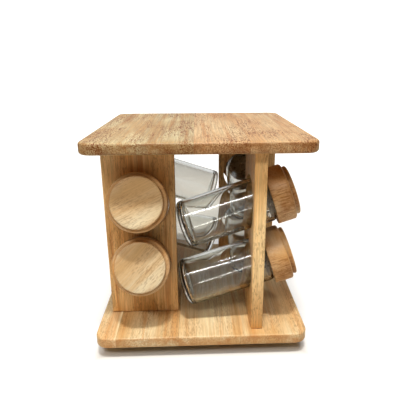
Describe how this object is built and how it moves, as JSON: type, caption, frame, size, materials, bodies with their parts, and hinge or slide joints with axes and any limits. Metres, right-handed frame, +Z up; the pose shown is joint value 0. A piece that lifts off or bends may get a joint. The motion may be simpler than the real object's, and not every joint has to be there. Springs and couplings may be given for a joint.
{
  "type": "revolving spice rack",
  "caption": "Square revolving countertop spice rack of pale wood, with tilted glass jars held in holes through upright panels.",
  "frame": {"origin": "on the floor under the middle of the rack, at the bottom of the feet", "axes": "+Z up, -Y towards the front panel's outer face, +X to the right"},
  "size_m": [0.2, 0.2, 0.205],
  "materials": {
    "board_wood": "satin oiled rubberwood, open pores",
    "panel_wood": "satin oiled rubberwood, upright grain",
    "cap_wood": "satin lacquered turned rubberwood",
    "dowel_wood": "plain unfinished birch dowel",
    "jar_glass": "clear glass with a faint grey-green edge",
    "plug_plastic": "translucent natural polyethylene",
    "plated_steel": "zinc-plated pressed steel",
    "foot_rubber": "matt black rubber"
  },
  "bodies": {
    "stand": {"swivel_lower_plate": "plated_steel", "rubber_foot_back_right": "foot_rubber", "rubber_foot_back_left": "foot_rubber", "rubber_foot_front_left": "foot_rubber", "rubber_foot_front_right": "foot_rubber"},
    "ball_ring": {"bearing_ball_ring": "plated_steel"},
    "carousel": {"swivel_upper_plate": "plated_steel", "base_board": "board_wood", "top_board": "board_wood", "swivel_screw_back_right": "plated_steel", "swivel_screw_back_left": "plated_steel", "swivel_screw_front_left": "plated_steel", "swivel_screw_front_right": "plated_steel", "panel_front": "panel_wood", "dowel_front_1": "dowel_wood", "panel_screw_front_1": "plated_steel", "dowel_front_2": "dowel_wood", "panel_screw_front_2": "plated_steel", "panel_right": "panel_wood", "dowel_right_1": "dowel_wood", "panel_screw_right_1": "plated_steel", "dowel_right_2": "dowel_wood", "panel_screw_right_2": "plated_steel", "panel_back": "panel_wood", "dowel_back_1": "dowel_wood", "panel_screw_back_1": "plated_steel", "dowel_back_2": "dowel_wood", "panel_screw_back_2": "plated_steel", "panel_left": "panel_wood", "dowel_left_1": "dowel_wood", "panel_screw_left_1": "plated_steel", "dowel_left_2": "dowel_wood", "panel_screw_left_2": "plated_steel"},
    "jar_front_lower": {"glass_jar_front_lower": "jar_glass"},
    "cap_front_lower": {"wooden_cap_front_lower": "cap_wood", "cap_plug_front_lower": "plug_plastic"},
    "jar_front_upper": {"glass_jar_front_upper": "jar_glass"},
    "cap_front_upper": {"wooden_cap_front_upper": "cap_wood", "cap_plug_front_upper": "plug_plastic"},
    "jar_right_lower": {"glass_jar_right_lower": "jar_glass"},
    "cap_right_lower": {"wooden_cap_right_lower": "cap_wood", "cap_plug_right_lower": "plug_plastic"},
    "jar_right_upper": {"glass_jar_right_upper": "jar_glass"},
    "cap_right_upper": {"wooden_cap_right_upper": "cap_wood", "cap_plug_right_upper": "plug_plastic"},
    "jar_back_lower": {"glass_jar_back_lower": "jar_glass"},
    "cap_back_lower": {"wooden_cap_back_lower": "cap_wood", "cap_plug_back_lower": "plug_plastic"},
    "jar_back_upper": {"glass_jar_back_upper": "jar_glass"},
    "cap_back_upper": {"wooden_cap_back_upper": "cap_wood", "cap_plug_back_upper": "plug_plastic"},
    "jar_left_lower": {"glass_jar_left_lower": "jar_glass"},
    "cap_left_lower": {"wooden_cap_left_lower": "cap_wood", "cap_plug_left_lower": "plug_plastic"},
    "jar_left_upper": {"glass_jar_left_upper": "jar_glass"},
    "cap_left_upper": {"wooden_cap_left_upper": "cap_wood", "cap_plug_left_upper": "plug_plastic"}
  },
  "joints": [
    {"name": "carousel_spin", "type": "hinge", "parent": "stand", "child": "carousel", "pos_m": [0, 0, 0.0059], "axis": [0, 0, 1], "continuous": true},
    {"name": "ball_ring_spin", "type": "hinge", "parent": "stand", "child": "ball_ring", "pos_m": [0, 0, 0.0059], "axis": [0, 0, 1], "continuous": true},
    {"name": "jar_front_lower_slide", "type": "slide", "parent": "carousel", "child": "jar_front_lower", "axis": [0, -0.95, 0.3123], "range_m": [0, 0.13]},
    {"name": "cap_front_lower_lift", "type": "slide", "parent": "jar_front_lower", "child": "cap_front_lower", "axis": [0, -0.95, 0.3123], "range_m": [0, 0.035]},
    {"name": "jar_front_upper_slide", "type": "slide", "parent": "carousel", "child": "jar_front_upper", "axis": [0, -0.95, 0.3123], "range_m": [0, 0.13]},
    {"name": "cap_front_upper_lift", "type": "slide", "parent": "jar_front_upper", "child": "cap_front_upper", "axis": [0, -0.95, 0.3123], "range_m": [0, 0.035]},
    {"name": "jar_right_lower_slide", "type": "slide", "parent": "carousel", "child": "jar_right_lower", "axis": [0.95, 0, 0.3123], "range_m": [0, 0.13]},
    {"name": "cap_right_lower_lift", "type": "slide", "parent": "jar_right_lower", "child": "cap_right_lower", "axis": [0.95, 0, 0.3123], "range_m": [0, 0.035]},
    {"name": "jar_right_upper_slide", "type": "slide", "parent": "carousel", "child": "jar_right_upper", "axis": [0.95, 0, 0.3123], "range_m": [0, 0.13]},
    {"name": "cap_right_upper_lift", "type": "slide", "parent": "jar_right_upper", "child": "cap_right_upper", "axis": [0.95, 0, 0.3123], "range_m": [0, 0.035]},
    {"name": "jar_back_lower_slide", "type": "slide", "parent": "carousel", "child": "jar_back_lower", "axis": [0, 0.95, 0.3123], "range_m": [0, 0.13]},
    {"name": "cap_back_lower_lift", "type": "slide", "parent": "jar_back_lower", "child": "cap_back_lower", "axis": [0, 0.95, 0.3123], "range_m": [0, 0.035]},
    {"name": "jar_back_upper_slide", "type": "slide", "parent": "carousel", "child": "jar_back_upper", "axis": [0, 0.95, 0.3123], "range_m": [0, 0.13]},
    {"name": "cap_back_upper_lift", "type": "slide", "parent": "jar_back_upper", "child": "cap_back_upper", "axis": [0, 0.95, 0.3123], "range_m": [0, 0.035]},
    {"name": "jar_left_lower_slide", "type": "slide", "parent": "carousel", "child": "jar_left_lower", "axis": [-0.95, 0, 0.3123], "range_m": [0, 0.13]},
    {"name": "cap_left_lower_lift", "type": "slide", "parent": "jar_left_lower", "child": "cap_left_lower", "axis": [-0.95, 0, 0.3123], "range_m": [0, 0.035]},
    {"name": "jar_left_upper_slide", "type": "slide", "parent": "carousel", "child": "jar_left_upper", "axis": [-0.95, 0, 0.3123], "range_m": [0, 0.13]},
    {"name": "cap_left_upper_lift", "type": "slide", "parent": "jar_left_upper", "child": "cap_left_upper", "axis": [-0.95, 0, 0.3123], "range_m": [0, 0.035]}
  ],
  "couplings": [
    {"joint": "ball_ring_spin", "follows": "carousel_spin", "ratio": 0.5}
  ]
}
